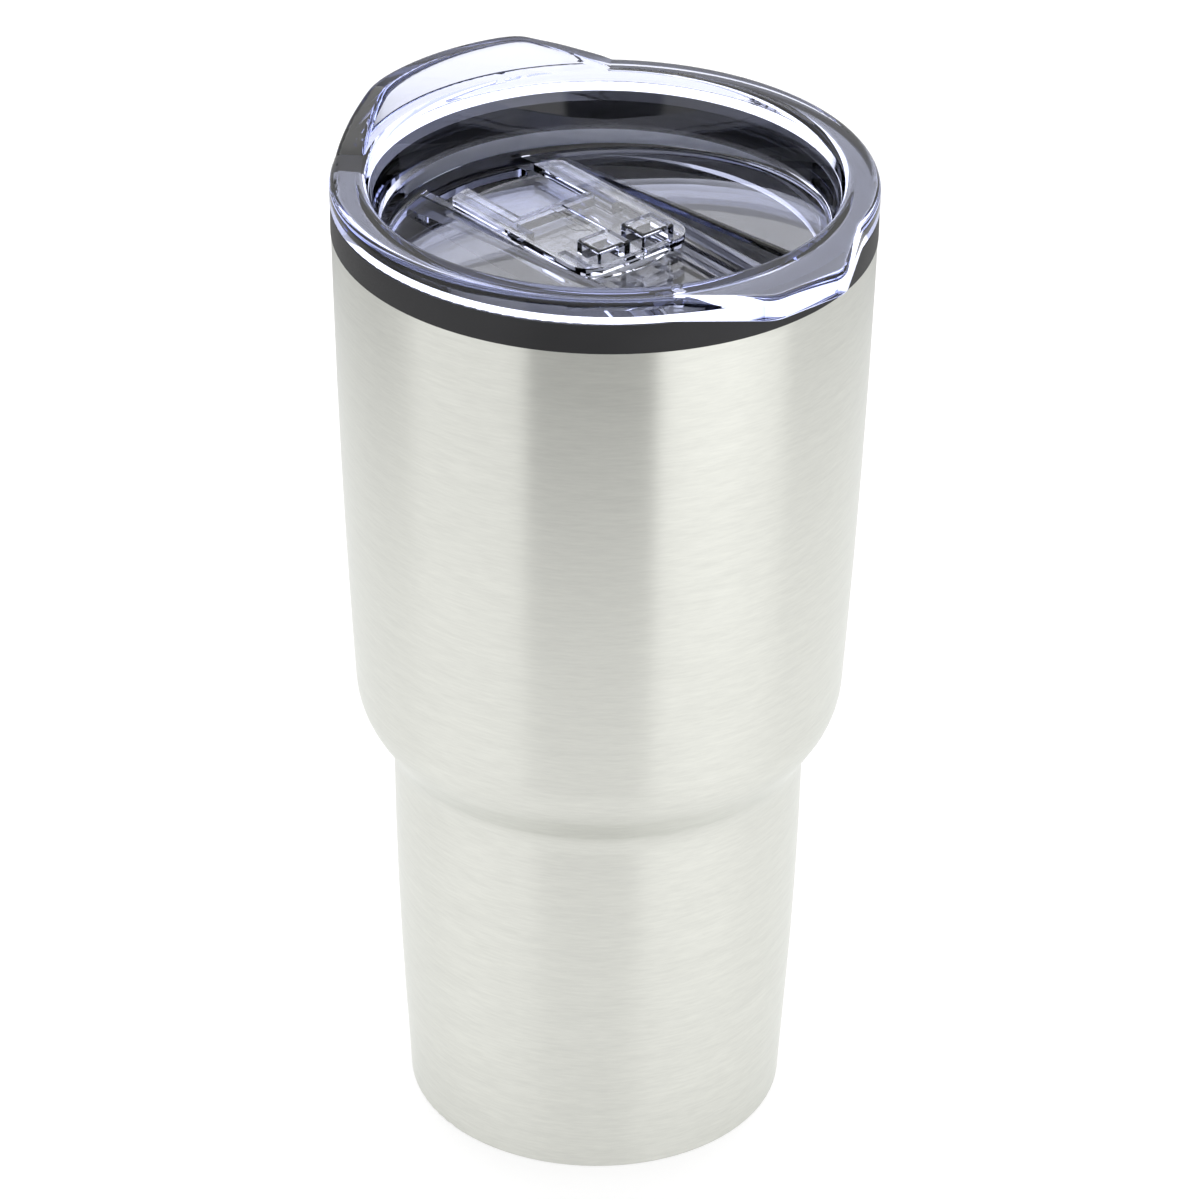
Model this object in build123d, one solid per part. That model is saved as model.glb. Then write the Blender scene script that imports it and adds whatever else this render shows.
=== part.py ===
from build123d import *
import os
from math import cos, radians, sin, sqrt

os.makedirs("parts", exist_ok=True)

# Frame: millimetres, +Z up, origin at the middle of the base.
# The drinking lip is on +X, the thumb tab on -X, and the slider runs along X.

# Tumbler
SHELL_WALL = 0.8          # outer stainless wall
CUP_WALL = 0.6            # inner stainless wall
SHELL_TOP_Z = 189.2       # where the steel ends and the black band begins
RIM_Z = 194.9             # top of the collar, where the lid's flange rests
CUP_INSET = 3.6           # outside of the inner cup, inwards from the outside of the shell
CUP_FLOOR_Z = 8.0         # top of the inner cup's floor
CUP_CORNER_R = 8.0        # round corner between the cup's wall and its floor
BASE_LIP = 3.4            # width of the rolled lip under the base
BASE_JOGGLE = 1.6         # width of the slope between the base plate's two levels
BASE_GAP = 0.2            # between the base plate and the edge of the rolled lip
BASE_SLOPE_SHIFT = 0.6    # inside of that slope, inwards from its outside

# Outside of the shell as corner points (radius, height) from the top down, with their bend radii.
# The two steep corners are the shoulder, where the body steps in to cup-holder width. The wide
# bend above it and the one below it give each long side its slight barrel.
SHELL_CORNERS = (
    (50.8, SHELL_TOP_Z),
    (49.8, 140.0),
    (47.0, 89.0),
    (40.0, 78.0),
    (39.7, 46.0),
    (37.0, 0.0),
)
SHELL_BENDS = (2200, 17, 8.5, 1100)
BASE_EDGE_R = 0.7

PAST = 1.0                # how far a cutting solid runs past what it cuts
SKY_Z = 300.0             # higher than anything in the model
WIDE = 65.0               # further out than anything in the model

# Collar that joins the two steel walls
BAND_R = 50.9             # outside of the visible black band
BAND_WALL = 1.2
NECK_GAP = 0.1            # between the band and the shell's neck inside it
COLLAR_BORE_R = 44.9      # bore that the lid's gasket seals on
COLLAR_SKIRT_R = 46.1
COLLAR_SKIRT_Z = 178.0    # lower end of the skirt inside the cup
COLLAR_ROOF_Z = 192.5     # underside of the collar's top, over the two steel rims
LEAD_IN = 1.4             # chamfer at the top of the bore
SEAL_HEIGHT = 0.9
SEAL_WIDTH = 1.0

# Lid
FLANGE_R = 51.0
FLANGE_GAP = 0.15         # air between the flange and the collar under it
FLANGE_TOP_Z = 199.7
FLANGE_TOP_ROUND = 1.7
FLANGE_LOW_ROUND = 0.35
RECESS_TOP_R = 44.0       # recess wall where it meets the flange
RECESS_TOP_Z = 197.7
RECESS_ROUND = 1.9        # round edge from the recess wall onto the flange
RECESS_FLOOR_R = 40.0     # recess wall at the track's floor
TRACK_FLOOR_Z = 183.5
LID_BOTTOM_Z = 181.5
PLUG_R = 44.5             # plug wall that goes down inside the collar
PLUG_LOW_R = 43.3
PLUG_ROOT_R = 46.0        # plug where it meets the flange, below which it narrows like the lead-in
FLOOR_WALL = 2.0
TRACK_HALF = 16.4         # half the width of the track between the side floors
FLOOR_HIGH_Z = 191.8      # side floors at the tab side
FLOOR_LOW_Z = 184.6       # side floors at the lip side
FLOOR_RUN = 42.0          # distance along X from the middle at which those two heights hold
FLOOR_CORNER_R = 1.0      # round corner between the side floors and the recess wall
EDGE_ROUND_SHARE = 0.16   # round at the top of the track walls, as a share of their height
EDGE_ROUND_X = (-42.0, 15.0)  # where that rounding starts and ends along X
POCKET_R = 40.3           # hollow under each side floor
LEDGE_HALF = 11.6         # inner edges of the ledges that hold the slider down
UNDERCUT_HALF = 13.3      # how far the track goes under the ledges
LEDGE_Z = (184.9, 185.9)
SLOT_HALF = 10.3          # drinking slot in the track's floor, beside the lip
SLOT_NEAR_X = 34.0
SLOT_FAR_R = 39.1
SLOT_CORNER = 1.2
VENT_X = -37.6
VENT_R = 1.0

# Drinking lip
LIP_TOP_Z = 206.2
LIP_RISE = 6.4
LIP_LEVEL = 20.0          # half angle of the lip's level top, degrees
LIP_RAMP = 21.5           # degrees over which each end falls to the flange
LIP_SOFTNESS = 0.10       # how softly the level top turns into the ramp
LIP_ROOT_Z = 196.4
LIP_INSIDE = (44.5, 46.75)    # radius of the lip's inner face at the root and at the top
LIP_OUTSIDE = (50.85, 50.5)
LIP_EDGE_R = 1.2
LIP_STEP = 4              # degrees from one section to the next

# Thumb tab
TAB_TIP_X = -57.2
TAB_TIP_HALF = 8.4
TAB_ROOT_X = -41.0        # end of each flank, inside the round flange
TAB_ROOT_HALF = 28.6
TAB_TIP_ROUND = 6.0
TAB_ROOT_ROUND = 14.0

# Gasket in the groove of the plug wall
GROOVE_Z = (184.9, 188.1)
GROOVE_R = 43.3
GROOVE_LAND = 0.5         # straight wall between the groove and the plug's taper
GASKET_R = 44.8
GASKET_WAIST_R = 44.15
GASKET_LIP = 0.5          # from each end of the gasket to the peak of its lip
GASKET_WAIST = 0.3        # half the height of the flat waist between the lips
GASKET_GAP = 0.05         # clearance in the groove

# Slider, at rest part way open
CLOSING_TRAVEL = 8.4      # from rest to closed
STEP_X = 15.0             # step between the plate and the closing tongue
PLATE_LENGTH = 25.5       # from that step back to the thumb end
PLATE_HALF = 13.5
PLATE_Z = (186.1, 187.6)
PLATE_CORNER = 5.0
NOTCH_HALF = 8.1          # half the width of the gap between the two arms
TIP_CLEARANCE = 0.3       # from the closed slider's end to the recess wall
LEG_HALF = (9.5, 11.3)    # inner and outer faces of the legs that run between the ledges
FOOT_HALF = 12.9          # feet that reach under the ledges
LEG_Z = 183.75
FOOT_TOP_Z = 184.65
FOOT_ROUND = 1.2
MERGE = 0.3               # how far legs, walls and grips reach into the plate
TONGUE_TOP_Z = 185.2
FRONT_LEG_LEAD = 6.0      # the front legs start this far behind the step
BACK_LEG_X = (-8.0, 0.0)
STEP_WALL = 0.9
ARM_TIP_ROUND = 2.0
BACK_WALL_R = 24.0        # curved wall under the thumb end of the plate
BACK_WALL = 1.2
BACK_WALL_INSET = 1.0
GRIP_BEHIND = (17.6, 24.4)    # front and back of the grip blocks, behind the step
GRIP_HALF = 9.2
GRIP_GAP = 1.4            # half the groove between the two blocks
GRIP_HEIGHT = 2.7
GRIP_ROUND = 0.7
GRIP_WALL = 1.2           # the blocks are hollow from below, with walls of this thickness
GROOVE_DEPTH = 0.45       # groove along the middle of the plate, between the blocks
MARK_BEHIND = 8.5         # round moulding mark under the plate, behind the step
MARK_R = 3.2
MARK_DEPTH = 0.3


def turned(*corners):
    """Solid of revolution about Z from the corner points (radius, height) of half a section."""
    return revolve(Plane.XZ * make_face(Polyline(*corners, close=True)), Axis.Z)


def block(low, high):
    """Box from its lowest to its highest corner."""
    size = [b - a for a, b in zip(low, high)]
    middle = [(a + b) / 2 for a, b in zip(low, high)]
    return Pos(*middle) * Box(*size)


def disc(radius, low_z, high_z):
    """Upright cylinder on the tumbler's axis."""
    return Pos(0, 0, (low_z + high_z) / 2) * Cylinder(radius, high_z - low_z)


def body_core(inset, low_z, edge_r):
    """The filled outside shape of the tumbler, moved inwards by inset and cut level at low_z."""
    corners = [(r - inset, z) for r, z in SHELL_CORNERS]
    side = FilletPolyline(*corners, radius=list(SHELL_BENDS))
    closing = Polyline(corners[-1], (0, 0), (0, SHELL_TOP_Z), corners[0])
    core = revolve(Plane.XZ * make_face(side.edges() + closing.edges()), Axis.Z)
    if low_z > 0:
        core -= disc(FLANGE_R, -PAST, low_z)
    base_edge = core.faces().sort_by(Axis.Z)[0].edges()
    return fillet(base_edge, edge_r)


def make_outer_shell():
    """Stainless outside with a narrower neck under the band and a lip rolled in at the base."""
    neck_r = BAND_R - BAND_WALL - NECK_GAP
    shell = body_core(0, 0, BASE_EDGE_R) + disc(neck_r, SHELL_TOP_Z - PAST, COLLAR_ROOF_Z)
    hollow_top = SHELL_TOP_Z - SHELL_WALL
    hollow = body_core(SHELL_WALL, SHELL_WALL, BASE_EDGE_R) & disc(FLANGE_R, 0, hollow_top)
    mouth = disc(neck_r - SHELL_WALL, hollow_top - PAST, COLLAR_ROOF_Z + PAST)
    foot_hole = disc(SHELL_CORNERS[-1][0] - BASE_LIP, -PAST, SHELL_WALL + PAST)
    return shell - hollow - mouth - foot_hole


def make_base_plate():
    """Pressed disc that closes the base, with its edge on top of the shell's rolled lip."""
    hole_r = SHELL_CORNERS[-1][0] - BASE_LIP
    rim_r = SHELL_CORNERS[-1][0] - 2 * SHELL_WALL
    inner_r = hole_r - BASE_JOGGLE
    outer_r = hole_r - BASE_GAP
    return turned(
        (0, 0), (inner_r, 0), (outer_r, SHELL_WALL), (rim_r, SHELL_WALL),
        (rim_r, 2 * SHELL_WALL), (outer_r - BASE_SLOPE_SHIFT, 2 * SHELL_WALL),
        (inner_r - BASE_SLOPE_SHIFT, SHELL_WALL), (0, SHELL_WALL),
    )


def make_inner_cup():
    """Stainless cup that holds the drink, hung from the collar."""
    top_z = COLLAR_ROOF_Z - SEAL_HEIGHT
    top_r = SHELL_CORNERS[0][0] - CUP_INSET
    outside = body_core(CUP_INSET, CUP_FLOOR_Z - CUP_WALL, CUP_CORNER_R + CUP_WALL)
    outside += disc(top_r, SHELL_TOP_Z - PAST, top_z)
    inside = body_core(CUP_INSET + CUP_WALL, CUP_FLOOR_Z, CUP_CORNER_R)
    inside += disc(top_r - CUP_WALL, SHELL_TOP_Z - PAST, top_z + PAST)
    return outside - inside


def make_collar():
    """Black ring over both steel rims, with a skirt down inside the cup."""
    band_in = BAND_R - BAND_WALL
    return turned(
        (COLLAR_BORE_R, COLLAR_SKIRT_Z), (COLLAR_BORE_R, RIM_Z - LEAD_IN),
        (COLLAR_BORE_R + LEAD_IN, RIM_Z), (BAND_R, RIM_Z), (BAND_R, SHELL_TOP_Z),
        (band_in, SHELL_TOP_Z), (band_in, COLLAR_ROOF_Z), (COLLAR_SKIRT_R, COLLAR_ROOF_Z),
        (COLLAR_SKIRT_R, COLLAR_SKIRT_Z),
    )


def make_collar_seal():
    """Flat ring squeezed between the inner cup's rim and the collar."""
    outer_r = SHELL_CORNERS[0][0] - CUP_INSET
    low_z = COLLAR_ROOF_Z - SEAL_HEIGHT
    return disc(outer_r, low_z, COLLAR_ROOF_Z) - disc(outer_r - SEAL_WIDTH, low_z - PAST, SKY_Z)


def floor_height(x):
    """Height of the sloping side floors at a place along X."""
    slope = (FLOOR_LOW_Z - FLOOR_HIGH_Z) / (2 * FLOOR_RUN)
    return (FLOOR_LOW_Z + FLOOR_HIGH_Z) / 2 + slope * x


def floor_space(rise, low_z, high_z):
    """Space above the sloping side floors raised by rise, cut off at two heights."""
    outline = Polyline(
        (-WIDE, floor_height(-WIDE) + rise), (WIDE, floor_height(WIDE) + rise),
        (WIDE, SKY_Z), (-WIDE, SKY_Z), close=True,
    )
    above = extrude(Plane.XZ * make_face(outline), WIDE, both=True)
    return above & block((-WIDE, -WIDE, low_z), (WIDE, WIDE, high_z))


def make_flange():
    """Flat rim of the lid with the thumb tab, before the recess is cut."""
    tab = make_face(Polyline(
        (TAB_TIP_X, TAB_TIP_HALF), (TAB_ROOT_X, TAB_ROOT_HALF), (0, TAB_ROOT_HALF),
        (0, -TAB_ROOT_HALF), (TAB_ROOT_X, -TAB_ROOT_HALF), (TAB_TIP_X, -TAB_TIP_HALF), close=True,
    ))
    plan = Circle(FLANGE_R) + tab
    roots = [v for v in plan.vertices() if abs(v.Y) > TAB_TIP_HALF + PAST and v.X < 0]
    plan = fillet(roots, TAB_ROOT_ROUND)
    plan = fillet(plan.vertices().sort_by(Axis.X)[0:2], TAB_TIP_ROUND)
    low_z = RIM_Z + FLANGE_GAP
    flange = extrude(Pos(0, 0, low_z) * plan, FLANGE_TOP_Z - low_z)
    flange = fillet(flange.faces().sort_by(Axis.Z)[-1].edges(), FLANGE_TOP_ROUND)
    return fillet(flange.faces().sort_by(Axis.Z)[0].edges(), FLANGE_LOW_ROUND)


def lip_height(angle):
    """Height of the lip's top at an angle from +X: level, then a soft turn into a straight ramp."""
    t = (abs(angle) - LIP_LEVEL) / LIP_RAMP
    return LIP_TOP_Z - LIP_RISE * (t + sqrt(t * t + LIP_SOFTNESS ** 2)) / 2


def lip_section(angle):
    """Upright section of the lip at an angle from +X, rounded along its top."""
    top_z = lip_height(angle)
    share = (top_z - LIP_ROOT_Z) / (LIP_TOP_Z - LIP_ROOT_Z)
    inside_r = LIP_INSIDE[0] + share * (LIP_INSIDE[1] - LIP_INSIDE[0])
    outside_r = LIP_OUTSIDE[0] + share * (LIP_OUTSIDE[1] - LIP_OUTSIDE[0])
    outline = FilletPolyline(
        (LIP_INSIDE[0], LIP_ROOT_Z), (inside_r, top_z), (outside_r, top_z),
        (LIP_OUTSIDE[0], LIP_ROOT_Z), radius=LIP_EDGE_R,
    )
    base = Line((LIP_OUTSIDE[0], LIP_ROOT_Z), (LIP_INSIDE[0], LIP_ROOT_Z))
    turn = radians(angle)
    plane = Plane((0, 0, 0), x_dir=(cos(turn), sin(turn), 0), z_dir=(sin(turn), -cos(turn), 0))
    return plane * make_face(outline.edges() + base.edges())


def make_lip():
    """Raised wall to drink over, through sections at even angles."""
    last = LIP_STEP * int((LIP_LEVEL + LIP_RAMP) / LIP_STEP + 1)
    sections = [lip_section(angle) for angle in range(-last, last + 1, LIP_STEP)]
    return loft(sections)


def edge_section(x):
    """Section of the cut that rounds the top of a track wall, in proportion to the wall's height."""
    top_z = floor_height(x)
    radius = EDGE_ROUND_SHARE * (top_z - LEDGE_Z[1])
    low = (TRACK_HALF, top_z - radius)
    high = (TRACK_HALF + radius, top_z)
    outline = Polyline(
        high, (high[0], top_z + PAST), (TRACK_HALF - PAST, top_z + PAST),
        (TRACK_HALF - PAST, low[1]), low,
    )
    face = make_face(outline.edges() + RadiusArc(low, high, radius).edges())
    return Plane((x, 0, 0), x_dir=(0, 1, 0), z_dir=(1, 0, 0)) * face


def make_lid_body():
    """Clear moulded lid: plug wall, flange, lip, sloping side floors and the slider's track."""
    root_z = RIM_Z + FLANGE_GAP
    plug = turned(
        (0, LID_BOTTOM_Z), (PLUG_LOW_R, LID_BOTTOM_Z), (PLUG_R, GROOVE_Z[0] - GROOVE_LAND),
        (PLUG_R, GROOVE_Z[0]), (GROOVE_R, GROOVE_Z[0]), (GROOVE_R, GROOVE_Z[1]),
        (PLUG_R, GROOVE_Z[1]), (PLUG_R, root_z - PLUG_ROOT_R + PLUG_R), (PLUG_ROOT_R, root_z),
        (PLUG_ROOT_R, root_z + PAST), (0, root_z + PAST),
    )
    wall_slope = (RECESS_TOP_R - RECESS_FLOOR_R) / (RECESS_TOP_Z - TRACK_FLOOR_Z)
    above_z = FLANGE_TOP_Z + PAST
    recess = turned(
        (0, TRACK_FLOOR_Z), (RECESS_FLOOR_R, TRACK_FLOOR_Z), (RECESS_TOP_R, RECESS_TOP_Z),
        (RECESS_TOP_R + wall_slope * (above_z - RECESS_TOP_Z), above_z), (0, above_z),
    )
    track = block((-WIDE, -TRACK_HALF, LEDGE_Z[1]), (WIDE, TRACK_HALF, above_z))
    track += block((-WIDE, -LEDGE_HALF, TRACK_FLOOR_Z), (WIDE, LEDGE_HALF, above_z))
    track += block((-WIDE, -UNDERCUT_HALF, TRACK_FLOOR_Z), (WIDE, UNDERCUT_HALF, LEDGE_Z[0]))
    lid = make_flange() + plug
    side_space = recess & floor_space(0, TRACK_FLOOR_Z, above_z)
    floor = side_space.faces().filter_by(GeomType.PLANE).sort_by(Axis.Z)[0]
    lid -= fillet(floor.edges(), FLOOR_CORNER_R) + (recess & track)
    edge_cut = loft([edge_section(x) for x in EDGE_ROUND_X])
    lid = lid - edge_cut - mirror(edge_cut, Plane.XZ)
    rims = lid.edges().filter_by(GeomType.CIRCLE).filter_by(lambda e: e.radius < LIP_INSIDE[1])
    lid = fillet(rims.group_by(lambda e: round(e.center().Z, 2))[-1], RECESS_ROUND)
    lid += make_lip()
    wall_y = TRACK_HALF + FLOOR_WALL
    pocket = disc(POCKET_R, LID_BOTTOM_Z - PAST, above_z) - floor_space(-FLOOR_WALL, 0, SKY_Z)
    pocket -= block((-WIDE, -wall_y, 0), (WIDE, wall_y, SKY_Z))
    lid -= pocket
    slot = disc(SLOT_FAR_R, LID_BOTTOM_Z - PAST, TRACK_FLOOR_Z + PAST)
    slot &= block((SLOT_NEAR_X, -SLOT_HALF, 0), (WIDE, SLOT_HALF, SKY_Z))
    lid -= fillet(slot.edges().filter_by(Axis.Z), SLOT_CORNER)
    lid -= Pos(VENT_X, 0, TRACK_FLOOR_Z) * Cylinder(VENT_R, 3 * FLOOR_WALL)
    return lid


def make_lid_gasket():
    """Silicone ring with two lips, in the groove of the plug wall."""
    low, high = GROOVE_Z[0] + GASKET_GAP, GROOVE_Z[1] - GASKET_GAP
    inner_r = GROOVE_R + GASKET_GAP
    middle = (low + high) / 2
    return turned(
        (inner_r, low), (GASKET_WAIST_R, low), (GASKET_R, low + GASKET_LIP),
        (GASKET_WAIST_R, middle - GASKET_WAIST), (GASKET_WAIST_R, middle + GASKET_WAIST),
        (GASKET_R, high - GASKET_LIP), (GASKET_WAIST_R, high), (inner_r, high),
    )


def slider_leg(side, start_x, end_x):
    """Upright leg with a foot that reaches under the ledge, on one side of the slider."""
    inner, outer = LEG_HALF
    leg = block((start_x, inner, LEG_Z), (end_x, outer, PLATE_Z[0] + MERGE))
    foot = block((start_x, inner, LEG_Z), (end_x, FOOT_HALF, FOOT_TOP_Z))
    leg += fillet(foot.edges().filter_by(Axis.Z).sort_by(Axis.Y)[-2:], FOOT_ROUND)
    return leg if side > 0 else mirror(leg, Plane.XZ)


def make_grip(side):
    """One of the two thumb blocks on top of the plate."""
    front, back = STEP_X - GRIP_BEHIND[0], STEP_X - GRIP_BEHIND[1]
    low_z = PLATE_Z[1] - MERGE
    grip = block((back, GRIP_GAP, low_z), (front, GRIP_HALF, PLATE_Z[1] + GRIP_HEIGHT))
    top = grip.faces().sort_by(Axis.Z)[-1].edges()
    grip = fillet(top + grip.edges().filter_by(Axis.Z), GRIP_ROUND)
    return grip if side > 0 else mirror(grip, Plane.XZ)


def grip_core(side):
    """Hollow under one thumb block, open at the underside of the plate."""
    front, back = STEP_X - GRIP_BEHIND[0], STEP_X - GRIP_BEHIND[1]
    low = (back + GRIP_WALL, GRIP_GAP + GRIP_WALL, PLATE_Z[0])
    high = (front - GRIP_WALL, GRIP_HALF - GRIP_WALL, PLATE_Z[1] + GRIP_HEIGHT - GRIP_WALL)
    core = block(low, high)
    return core if side > 0 else mirror(core, Plane.XZ)


def make_slider():
    """Clear slide: grip plate, two arms, a lower tongue that closes the slot, legs and feet."""
    back_x = STEP_X - PLATE_LENGTH
    far_x = RECESS_FLOOR_R
    plan = make_face(Polyline(
        (back_x, -PLATE_HALF), (far_x, -PLATE_HALF), (far_x, -NOTCH_HALF), (STEP_X, -NOTCH_HALF),
        (STEP_X, NOTCH_HALF), (far_x, NOTCH_HALF), (far_x, PLATE_HALF), (back_x, PLATE_HALF),
        close=True,
    ))
    plan = fillet(plan.vertices().sort_by(Axis.X)[0:2], PLATE_CORNER)
    slider = extrude(Pos(0, 0, PLATE_Z[0]) * plan, PLATE_Z[1] - PLATE_Z[0])
    slider += block((STEP_X - STEP_WALL, -LEG_HALF[0], LEG_Z), (STEP_X, LEG_HALF[0], PLATE_Z[1]))
    slider += block((STEP_X - STEP_WALL, -LEG_HALF[1], LEG_Z), (far_x, LEG_HALF[1], TONGUE_TOP_Z))
    for side in (1, -1):
        slider += slider_leg(side, STEP_X - FRONT_LEG_LEAD, far_x)
        slider += slider_leg(side, *BACK_LEG_X)
    tip_r = RECESS_FLOOR_R - TIP_CLEARANCE
    slider &= Pos(-CLOSING_TRAVEL, 0, 0) * disc(tip_r, 0, SKY_Z)
    tips = slider.edges().filter_by(Axis.Z).filter_by(
        lambda e: e.center().X > STEP_X + FRONT_LEG_LEAD
        and e.center().Z > PLATE_Z[0] and abs(e.center().Y) > LEG_HALF[1]
    )
    slider = fillet(tips, ARM_TIP_ROUND)
    for side in (1, -1):
        slider = slider + make_grip(side) - grip_core(side)
    wall_z = (LEG_Z, PLATE_Z[0] + MERGE)
    back_wall = disc(BACK_WALL_R, *wall_z) - disc(BACK_WALL_R - BACK_WALL, *wall_z)
    back_wall = Pos(back_x + BACK_WALL_INSET + BACK_WALL_R, 0, 0) * back_wall
    slider += back_wall & block((back_x, -LEG_HALF[1], LEG_Z), (BACK_LEG_X[1], LEG_HALF[1], SKY_Z))
    groove_z = PLATE_Z[1] - GROOVE_DEPTH
    groove = block((-WIDE, -GRIP_GAP, groove_z), (STEP_X - STEP_WALL, GRIP_GAP, SKY_Z))
    mark_z = PLATE_Z[0] + MARK_DEPTH / 2
    return slider - groove - Pos(STEP_X - MARK_BEHIND, 0, mark_z) * Cylinder(MARK_R, MARK_DEPTH)


PARTS = {
    "outer_shell": make_outer_shell,
    "base_plate": make_base_plate,
    "inner_cup": make_inner_cup,
    "collar": make_collar,
    "collar_seal": make_collar_seal,
    "lid_body": make_lid_body,
    "lid_gasket": make_lid_gasket,
    "slider": make_slider,
}

for name, maker in PARTS.items():
    export_step(maker(), f"parts/{name}.step")
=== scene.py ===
from math import cos, pi, radians, sin

import bpy
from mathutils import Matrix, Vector

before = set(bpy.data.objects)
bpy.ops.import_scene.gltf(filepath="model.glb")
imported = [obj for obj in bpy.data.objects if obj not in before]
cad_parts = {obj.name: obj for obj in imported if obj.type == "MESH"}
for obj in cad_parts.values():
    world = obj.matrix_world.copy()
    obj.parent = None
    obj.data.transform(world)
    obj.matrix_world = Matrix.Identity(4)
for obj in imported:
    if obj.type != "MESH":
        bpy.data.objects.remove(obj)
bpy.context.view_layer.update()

# Metres, +Z up, origin at the middle of the base. The drinking lip is on +X, the thumb tab on -X.

# Camera
CAMERA_BEARING = 139.5        # direction from the tumbler to the camera, degrees from +X
CAMERA_DISTANCE = 0.921       # level distance from the tumbler's axis
CAMERA_HEIGHT = 0.655
CAMERA_AIM_Z = 0.1082
CAMERA_LENS = 166.4
CAMERA_ROLL = 0.7             # degrees
SENSOR_WIDTH = 36.0

# Colours, linear
STEEL = (0.672, 0.677, 0.632)
SATIN_STEEL = (0.66, 0.66, 0.65)
BLACK_PLASTIC = (0.015, 0.015, 0.017)
CLEAR = (0.985, 0.988, 0.998)
CLEAR_DEPTH = (0.18, 0.30, 0.91)
CLEAR_DENSITY = 38.0          # per metre
SILICONE = (0.90, 0.93, 0.97)
FLOOR = (0.40, 0.40, 0.40)
FLOOR_GLOW = 0.64             # the floor is a light table, which also shines by itself

# Studio light: even and soft all round, brighter from above and from a panel high up behind.
AROUND = 0.92
OVERHEAD = 1.25               # from straight above
BACK_PANEL = 1.5              # added by the panel behind, high up
BACK_PANEL_HEIGHT = 33        # degrees above level
BACK_PANEL_EDGE = (28, 46)    # its soft edge, degrees from its middle

# Ring of cards that only the reflections see: (degrees from the camera's bearing, light), with
# a dark gap at the camera between a wide card on the left and a brighter one on the right.
# The levels are set for the bands of light on the steel.
CARDS = (
    (-180, 0.70), (-131, 0.64), (-98, 0.48), (-84, 0.58), (-76, 0.95), (-40, 0.92), (-31, 0.90),
    (-27, 0.02), (19, 0.02), (23, 1.28), (34, 1.40), (50, 1.46), (72, 1.16), (80, 0.66),
    (121, 0.72), (180, 0.70),
)
BRIGHTEST = 2.0               # top of the scale that CARDS is in
CARD_RADIUS = 0.36
CARD_HEIGHT = 0.50
CARD_FADE = (0.26, 0.34)      # heights between which the cards turn to one even tone
CARD_TOP = 0.86               # that tone


# ---- Materials ----

class Tree:
    """A node tree, with short calls to add nodes and join them."""

    def __init__(self, tree):
        self.tree = tree

    def add(self, kind, **values):
        """Adds a node and sets its own options and its sockets, by name."""
        node = self.tree.nodes.new(kind)
        for key, value in values.items():
            if hasattr(node, key):
                setattr(node, key, value)
            else:
                node.inputs[key.replace("_", " ")].default_value = value
        return node

    def join(self, source, target):
        self.tree.links.new(source, target)

    def feed(self, value, socket):
        """Puts a number into a socket, or joins another socket to it."""
        if isinstance(value, (int, float)):
            socket.default_value = value
        else:
            self.join(value, socket)

    def maths(self, operation, first, second):
        node = self.add("ShaderNodeMath", operation=operation)
        self.feed(first, node.inputs[0])
        self.feed(second, node.inputs[1])
        return node.outputs[0]

    def along(self, vector, direction):
        """How far a vector reaches in a direction."""
        node = self.add("ShaderNodeVectorMath", operation="DOT_PRODUCT")
        self.join(vector, node.inputs[0])
        node.inputs[1].default_value = direction
        return node.outputs["Value"]

    def blended(self, share, first, second):
        node = self.add("ShaderNodeMix", data_type="FLOAT")
        self.feed(share, node.inputs[0])
        self.feed(first, node.inputs[2])
        self.feed(second, node.inputs[3])
        return node.outputs[0]

    def ranged(self, value, low, high, from_low=0.3, from_high=0.7):
        """A value spread over a new range, and held at its ends."""
        node = self.add("ShaderNodeMapRange")
        for key, number in (("From Min", from_low), ("From Max", from_high),
                            ("To Min", low), ("To Max", high)):
            node.inputs[key].default_value = number
        self.join(value, node.inputs["Value"])
        return node.outputs["Result"]


class Finish(Tree):
    """A new material's node tree, which works in object coordinates, in metres."""

    def __init__(self, name):
        self.material = bpy.data.materials.new(name)
        self.material.use_nodes = True
        super().__init__(self.material.node_tree)
        self.shader = self.tree.nodes["Principled BSDF"]
        self.output = self.tree.nodes["Material Output"]

    def set(self, **values):
        """Sets plain numbers and colours on the shader's own sockets."""
        for key, value in values.items():
            self.shader.inputs[key.replace("_", " ")].default_value = value

    def noise(self, scale, detail=2.0, roughness=0.5):
        """Noise value, stretched by three factors per metre."""
        mapping = self.add("ShaderNodeMapping", Scale=scale)
        place = self.add("ShaderNodeTexCoord").outputs["Object"]
        self.join(place, mapping.inputs["Vector"])
        texture = self.add("ShaderNodeTexNoise", Scale=1.0, Detail=detail, Roughness=roughness)
        self.join(mapping.outputs["Vector"], texture.inputs["Vector"])
        return texture.outputs["Fac"]

    def mixed(self, value, low, high):
        """A colour between two, by a value."""
        node = self.add("ShaderNodeMix", data_type="RGBA")
        self.join(value, node.inputs[0])
        node.inputs[6].default_value = (*low, 1)
        node.inputs[7].default_value = (*high, 1)
        return node.outputs[2]

    def drive(self, value, name):
        self.join(value, self.shader.inputs[name])

    def bump(self, value, distance, strength=1.0):
        node = self.add("ShaderNodeBump", Distance=distance, Strength=strength)
        self.join(value, node.inputs["Height"])
        self.drive(node.outputs["Normal"], "Normal")

    def brushed_round_axis(self, strength):
        """Reflections drawn out along Z, as brushing round the Z axis does."""
        self.set(Anisotropic=strength, Anisotropic_Rotation=0.25)
        tangent = self.add("ShaderNodeTangent", direction_type="RADIAL", axis="Z")
        self.drive(tangent.outputs["Tangent"], "Tangent")


def tint(colour, factor):
    """A colour made darker or lighter."""
    return tuple(min(1.0, c * factor) for c in colour)


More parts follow.
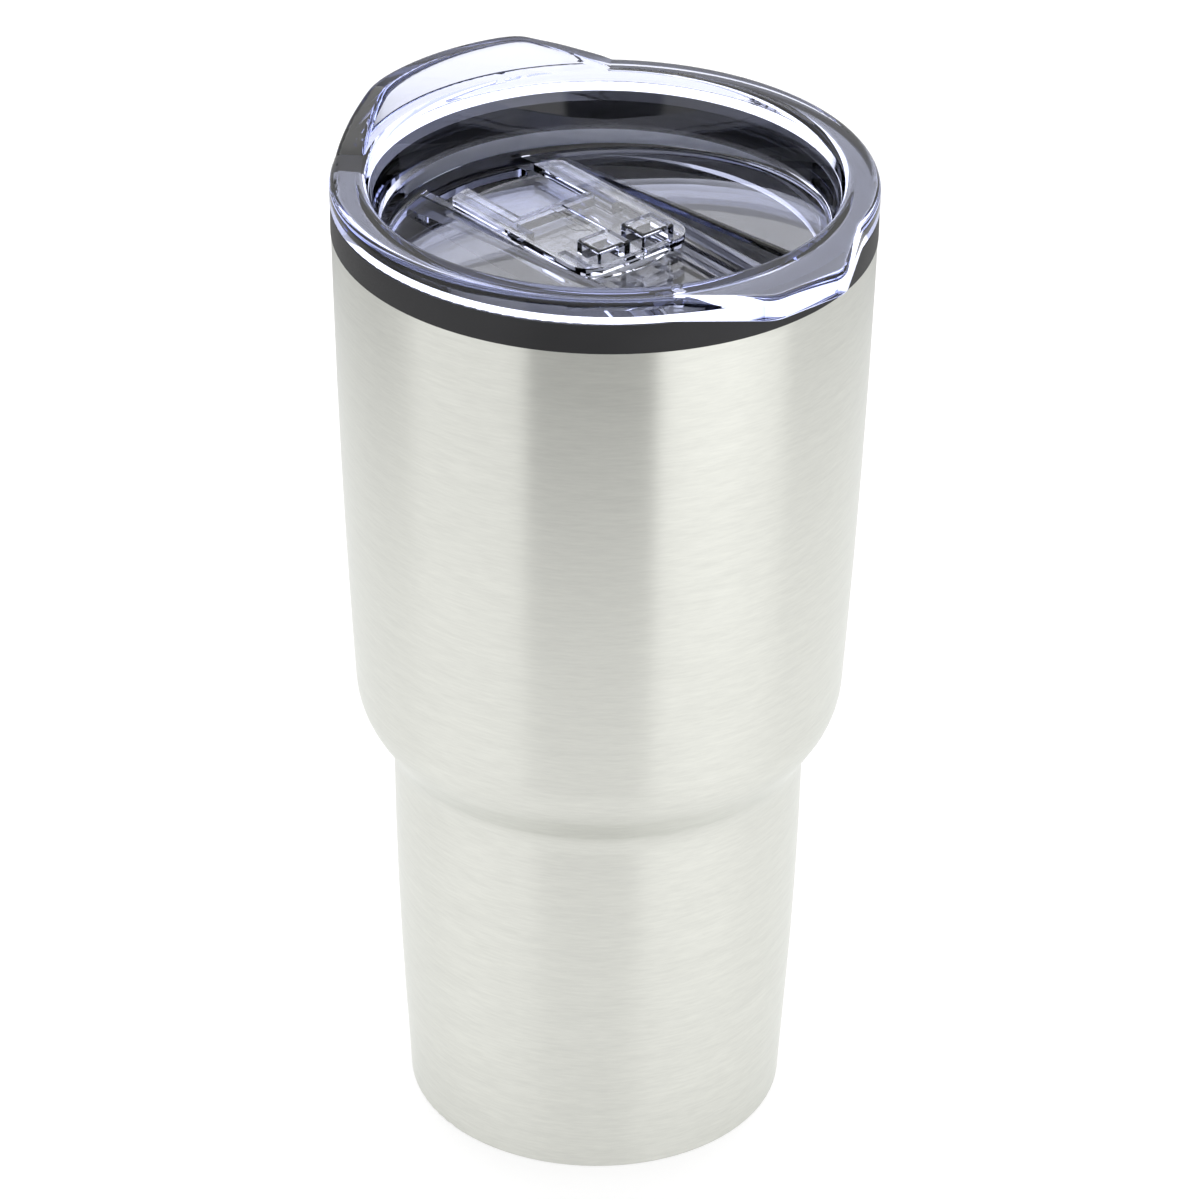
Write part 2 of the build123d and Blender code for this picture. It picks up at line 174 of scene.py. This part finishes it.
def brushed_steel():
    """Stainless steel brushed round the body: fine level streaks, softly worn."""
    n = Finish("brushed_steel")
    n.set(Metallic=1.0, Specular_Tint=(0.93, 0.94, 0.94, 1))
    n.brushed_round_axis(0.88)
    fine = n.noise((220, 220, 1800), detail=3.0, roughness=0.65)
    coarse = n.noise((60, 60, 500), detail=2.0)
    streaks = n.maths("ADD", fine, n.maths("MULTIPLY", coarse, 0.5))
    colour = n.mixed(n.ranged(streaks, 0, 1, 0.5, 1.0), tint(STEEL, 0.945), tint(STEEL, 1.055))
    n.drive(colour, "Base Color")
    n.drive(n.ranged(streaks, 0.275, 0.305, 0.5, 1.0), "Roughness")
    n.bump(fine, 0.000002, 0.04)
    return n.material


def satin_steel():
    """Inside of the cup: a duller finish with broad, faint turning marks."""
    n = Finish("satin_steel")
    n.set(Metallic=1.0)
    n.brushed_round_axis(0.4)
    marks = n.noise((30, 30, 1800), detail=2.0)
    n.drive(n.mixed(n.ranged(marks, 0, 1), tint(SATIN_STEEL, 0.95), tint(SATIN_STEEL, 1.04)),
            "Base Color")
    n.drive(n.ranged(marks, 0.46, 0.54), "Roughness")
    n.bump(marks, 0.00001, 0.4)
    return n.material


def black_plastic():
    """Matte moulded plastic with a fine spark-eroded grain."""
    n = Finish("black_plastic")
    n.set(Specular_IOR_Level=0.34)
    grain = n.noise((2600, 2600, 2600), detail=2.0)
    cloud = n.noise((60, 60, 120), detail=2.0)
    n.drive(n.mixed(n.ranged(cloud, 0, 1), tint(BLACK_PLASTIC, 0.88), tint(BLACK_PLASTIC, 1.14)),
            "Base Color")
    n.drive(n.ranged(grain, 0.48, 0.54), "Roughness")
    n.bump(grain, 0.00001, 0.25)
    return n.material


def clear_plastic():
    """Clear moulded plastic: a blue tint in the thick places, faint flow lines and light rubs."""
    n = Finish("clear_plastic")
    n.set(Base_Color=(*CLEAR, 1), Transmission_Weight=1.0, IOR=1.5)
    flow = n.noise((45, 45, 70), detail=2.0)
    rubs = n.noise((150, 900, 400), detail=4.0, roughness=0.7)
    n.drive(n.ranged(rubs, 0.0, 0.02, 0.6, 0.85), "Roughness")
    n.bump(flow, 0.0002, 0.2)
    depth = n.add("ShaderNodeVolumeAbsorption", Color=(*CLEAR_DEPTH, 1), Density=CLEAR_DENSITY)
    n.join(depth.outputs["Volume"], n.output.inputs["Volume"])
    return n.material


def silicone():
    """Milky silicone with a soft, slightly uneven surface."""
    n = Finish("silicone")
    n.set(Transmission_Weight=0.12, IOR=1.41)
    n.set(Subsurface_Weight=0.5, Subsurface_Radius=(1, 1, 1), Subsurface_Scale=0.002)
    cloud = n.noise((220, 220, 220), detail=3.0)
    n.drive(n.mixed(n.ranged(cloud, 0, 1), tint(SILICONE, 0.93), tint(SILICONE, 1.05)),
            "Base Color")
    n.drive(n.ranged(cloud, 0.38, 0.5), "Roughness")
    n.bump(cloud, 0.00005, 0.4)
    return n.material


def light_table():
    """White acrylic, lit from below."""
    n = Finish("light_table")
    n.set(Specular_IOR_Level=0.1, Roughness=0.9, Emission_Color=(1, 1, 1, 1))
    n.set(Emission_Strength=FLOOR_GLOW)
    fibre = n.noise((900, 900, 900), detail=3.0)
    n.drive(n.mixed(n.ranged(fibre, 0, 1), tint(FLOOR, 0.995), tint(FLOOR, 1.005)),
            "Base Color")
    return n.material


FINISHES = {
    "outer_shell": "brushed_steel",
    "base_plate": "brushed_steel",
    "inner_cup": "satin_steel",
    "collar": "black_plastic",
    "collar_seal": "silicone",
    "lid_body": "clear_plastic",
    "lid_gasket": "silicone",
    "slider": "clear_plastic",
}


def dress():
    """Gives every CAD node its finish."""
    makers = (brushed_steel, satin_steel, black_plastic, clear_plastic, silicone)
    made = {maker.__name__: maker() for maker in makers}
    for node, finish in FINISHES.items():
        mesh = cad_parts[node].data
        mesh.materials.clear()
        mesh.materials.append(made[finish])


# ---- Studio ----

def point_at(thing, target):
    """Turns a camera to look at a place."""
    thing.rotation_euler = (Vector(target) - thing.location).to_track_quat("-Z", "Y").to_euler()


def make_camera():
    data = bpy.data.cameras.new("camera")
    data.lens = CAMERA_LENS
    data.sensor_width = SENSOR_WIDTH
    camera = bpy.data.objects.new("camera", data)
    turn = radians(CAMERA_BEARING)
    camera.location = (CAMERA_DISTANCE * cos(turn), CAMERA_DISTANCE * sin(turn), CAMERA_HEIGHT)
    point_at(camera, (0, 0, CAMERA_AIM_Z))
    camera.rotation_euler.rotate_axis("Z", radians(CAMERA_ROLL))
    bpy.context.scene.collection.objects.link(camera)
    bpy.context.scene.camera = camera


def make_floor():
    bpy.ops.mesh.primitive_plane_add(size=30, location=(0, 0, 0))
    floor = bpy.context.object
    floor.name = "floor"
    floor.data.materials.append(light_table())


def card_light():
    """Light of the ring of cards, by the angle round the tumbler."""
    material = bpy.data.materials.new("cards")
    material.use_nodes = True
    n = Tree(material.node_tree)
    n.tree.nodes.remove(n.tree.nodes["Principled BSDF"])
    turn = radians(CAMERA_BEARING)
    place = n.add("ShaderNodeTexCoord").outputs["Object"]
    ahead = n.along(place, (cos(turn), sin(turn), 0))
    right = n.along(place, (-sin(turn), cos(turn), 0))
    levels = n.add("ShaderNodeFloatCurve")
    curve = levels.mapping.curves[0]
    for point, (angle, level) in zip(curve.points, (CARDS[0], CARDS[-1])):
        point.location = ((angle + 180) / 360, level / BRIGHTEST)
        point.handle_type = "VECTOR"
    for angle, level in CARDS[1:-1]:
        curve.points.new((angle + 180) / 360, level / BRIGHTEST).handle_type = "VECTOR"
    levels.mapping.update()
    side = n.maths("ARCTAN2", right, ahead)
    n.join(n.ranged(side, 0, 1, -pi, pi), levels.inputs["Value"])
    lower = n.maths("MULTIPLY", levels.outputs["Value"], BRIGHTEST)
    point = n.add("ShaderNodeNewGeometry").outputs["Position"]
    raised = n.ranged(n.along(point, (0, 0, 1)), 0, 1, *CARD_FADE)
    glow = n.add("ShaderNodeEmission", Color=(1, 1, 1, 1))
    n.join(n.blended(raised, lower, CARD_TOP), glow.inputs["Strength"])
    n.join(glow.outputs[0], n.tree.nodes["Material Output"].inputs["Surface"])
    return material


def make_cards():
    """Open drum round the tumbler that lights nothing and shows only in reflections."""
    bpy.ops.mesh.primitive_cylinder_add(vertices=180, radius=CARD_RADIUS, depth=CARD_HEIGHT,
                                        end_fill_type="NOTHING", location=(0, 0, CARD_HEIGHT / 2))
    cards = bpy.context.object
    cards.name = "cards"
    cards.data.materials.append(card_light())
    cards.visible_camera = False
    cards.visible_diffuse = False
    cards.visible_transmission = False
    cards.visible_shadow = False


def make_world():
    """Soft light all round, and plain white where the camera looks past the tumbler."""
    world = bpy.data.worlds.new("studio")
    world.use_nodes = True
    n = Tree(world.node_tree)
    turn = radians(CAMERA_BEARING)
    place = n.add("ShaderNodeTexCoord").outputs["Generated"]
    up = n.along(place, (0, 0, 1))
    level = n.ranged(up, AROUND, OVERHEAD, 0.45, 0.85)
    height = radians(BACK_PANEL_HEIGHT)
    middle = (-cos(turn) * cos(height), -sin(turn) * cos(height), sin(height))
    near, far = (cos(radians(angle)) for angle in BACK_PANEL_EDGE)
    panel = n.ranged(n.along(place, middle), 0, BACK_PANEL, far, near)
    studio = n.add("ShaderNodeBackground", Color=(1, 1, 1, 1))
    n.join(n.maths("ADD", level, panel), studio.inputs["Strength"])
    seen = n.add("ShaderNodeBackground", Color=(1, 1, 1, 1), Strength=1.0)
    choice = n.add("ShaderNodeMixShader")
    n.join(n.add("ShaderNodeLightPath").outputs["Is Camera Ray"], choice.inputs["Fac"])
    n.join(studio.outputs[0], choice.inputs[1])
    n.join(seen.outputs[0], choice.inputs[2])
    n.join(choice.outputs[0], world.node_tree.nodes["World Output"].inputs["Surface"])
    bpy.context.scene.world = world


bpy.context.scene.view_settings.view_transform = "Standard"
dress()
make_camera()
make_floor()
make_cards()
make_world()
